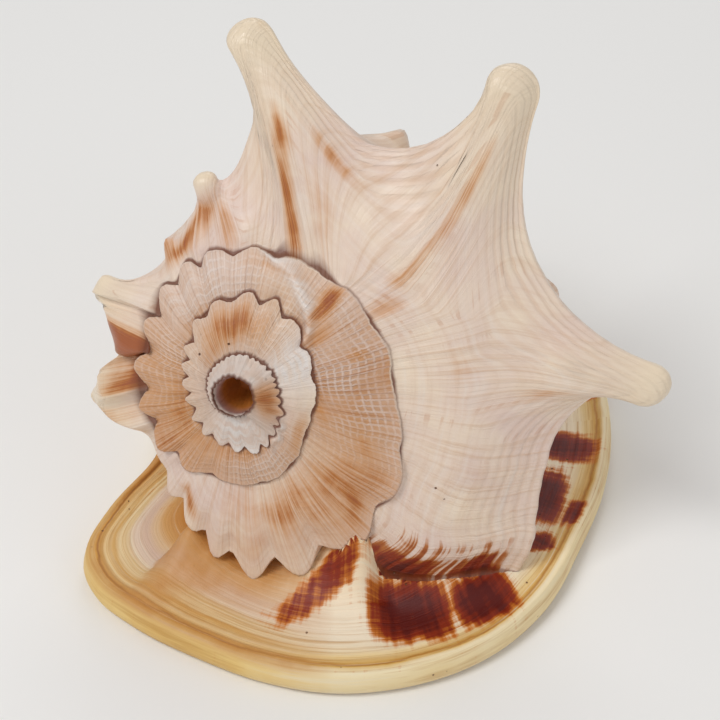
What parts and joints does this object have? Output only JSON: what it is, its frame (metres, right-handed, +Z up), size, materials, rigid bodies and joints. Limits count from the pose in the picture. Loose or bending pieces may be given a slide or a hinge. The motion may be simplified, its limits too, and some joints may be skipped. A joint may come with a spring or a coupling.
{
  "type": "conch shell",
  "caption": "Large horned helmet-type sea shell with a low knobbed spire, blunt horns, a flat flared shield and a long toothed mouth, resting mouth down.",
  "frame": {"origin": "middle of the footprint's box, on the ground that the flat mouth side rests on", "axes": "+Z up, out of the back of the shell; +Y towards the siphonal canal; +X towards the outer lip side, so the broken apex points to -Y"},
  "size_m": [0.1959, 0.2256, 0.1795],
  "materials": {
    "shell": "worn, softly satin shell with tan stains, dark brown blotches and a cream rolled rim"
  },
  "bodies": {
    "root": {"shell": "shell"}
  },
  "joints": []
}
